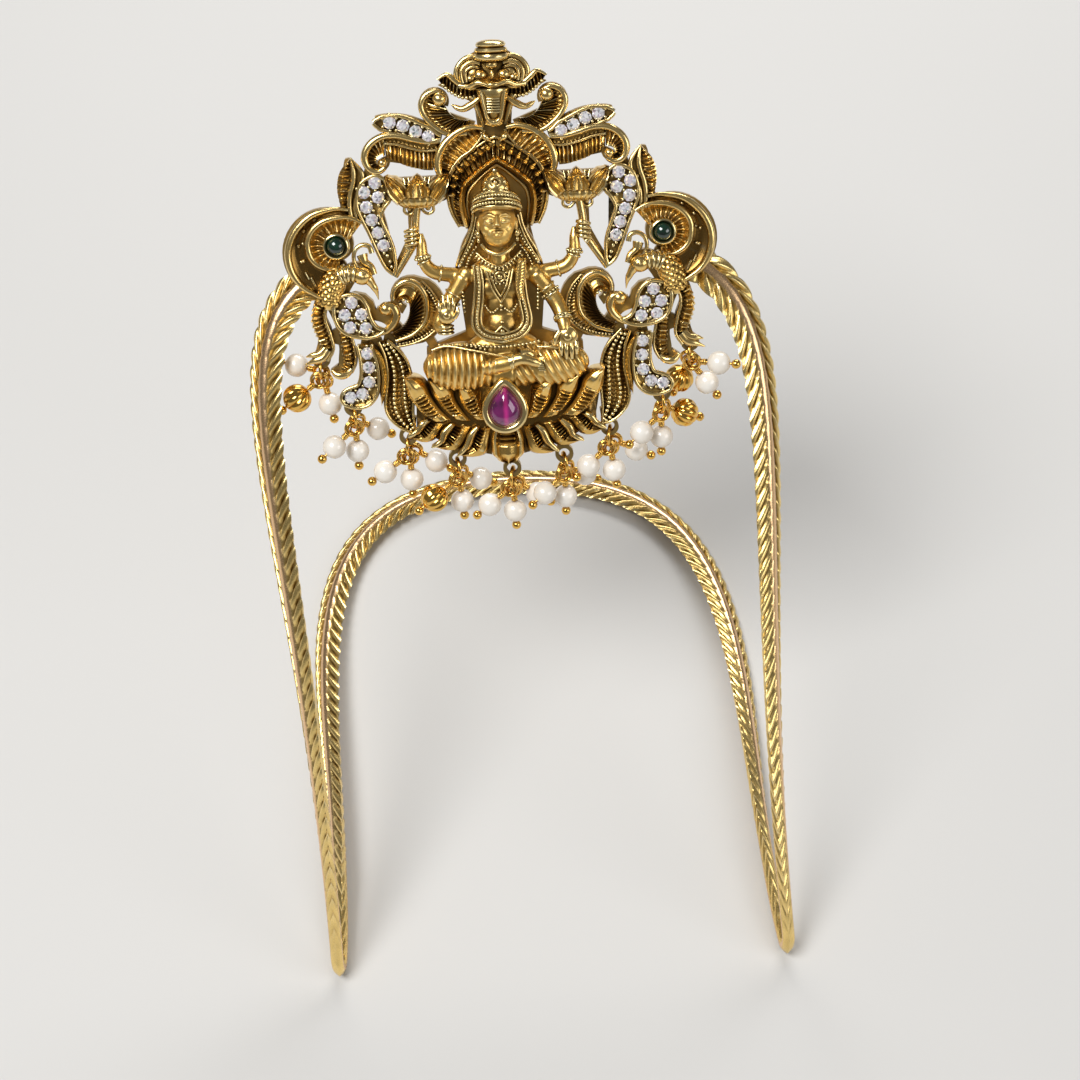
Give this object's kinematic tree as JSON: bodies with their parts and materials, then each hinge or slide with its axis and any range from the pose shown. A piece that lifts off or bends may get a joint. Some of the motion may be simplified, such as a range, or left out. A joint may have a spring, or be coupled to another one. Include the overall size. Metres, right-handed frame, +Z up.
{
  "type": "bajuband armlet",
  "caption": "Upper-arm armlet: an open leaf-patterned strip bent into two arches, and a cast openwork plaque with a seated figure, peacocks, stones and pearl drops.",
  "frame": {"origin": "centre of the footprint on the surface that the armlet rests on", "axes": "+Z up; +Y from the two tips towards the top of the back arch that lies on the surface, which is also the way an arm goes through; +X to the wearer's left of the plaque, the picture's right"},
  "size_m": [0.0724, 0.093, 0.1038],
  "materials": {
    "band_gold": "gold plated, satin with polished crests",
    "antique_gold": "antique matte gold plate, dark in the recesses",
    "wire_gold": "polished warm gold plate",
    "ruby_glass": "cut, foil backed",
    "emerald_glass": "smooth cabochon",
    "white_stone": "cut, foil backed",
    "pearl": "pearl coated, satin"
  },
  "bodies": {
    "root": {"band": "band_gold", "plate": "antique_gold", "halo": "antique_gold", "canopy": "antique_gold", "finial": "antique_gold", "figure": "antique_gold", "lotus_seat": "antique_gold", "lotus_bloom_left": "antique_gold", "lotus_bloom_right": "antique_gold", "peacock_left": "antique_gold", "peacock_right": "antique_gold", "crescent_left": "antique_gold", "crescent_right": "antique_gold", "leaf_scroll_left": "antique_gold", "leaf_scroll_right": "antique_gold", "side_scroll_left": "antique_gold", "side_scroll_right": "antique_gold", "side_leaf_left": "antique_gold", "side_leaf_right": "antique_gold", "tail_leaf_left": "antique_gold", "tail_leaf_right": "antique_gold", "ruby_bezel": "antique_gold", "ruby": "ruby_glass", "emerald_bezel_left": "antique_gold", "emerald_bezel_right": "antique_gold", "emerald_left": "emerald_glass", "emerald_right": "emerald_glass", "wing_stones_left": "white_stone", "wing_stones_right": "white_stone", "paisley_stones_left": "white_stone", "paisley_stones_right": "white_stone", "peacock_stones_left": "white_stone", "peacock_stones_right": "white_stone", "tail_stones_left": "white_stone", "tail_stones_right": "white_stone", "jump_rings": "wire_gold", "gold_beads": "wire_gold", "drop_pins_1": "wire_gold", "drop_pins_2": "wire_gold", "drop_pins_3": "wire_gold", "drop_pins_4": "wire_gold", "drop_pins_5": "wire_gold", "drop_pins_6": "wire_gold", "drop_pins_7": "wire_gold", "drop_pins_8": "wire_gold", "drop_pins_9": "wire_gold", "drop_pearls_1": "pearl", "drop_pearls_2": "pearl", "drop_pearls_3": "pearl", "drop_pearls_4": "pearl", "drop_pearls_5": "pearl", "drop_pearls_6": "pearl", "drop_pearls_7": "pearl", "drop_pearls_8": "pearl", "drop_pearls_9": "pearl"}
  },
  "joints": []
}
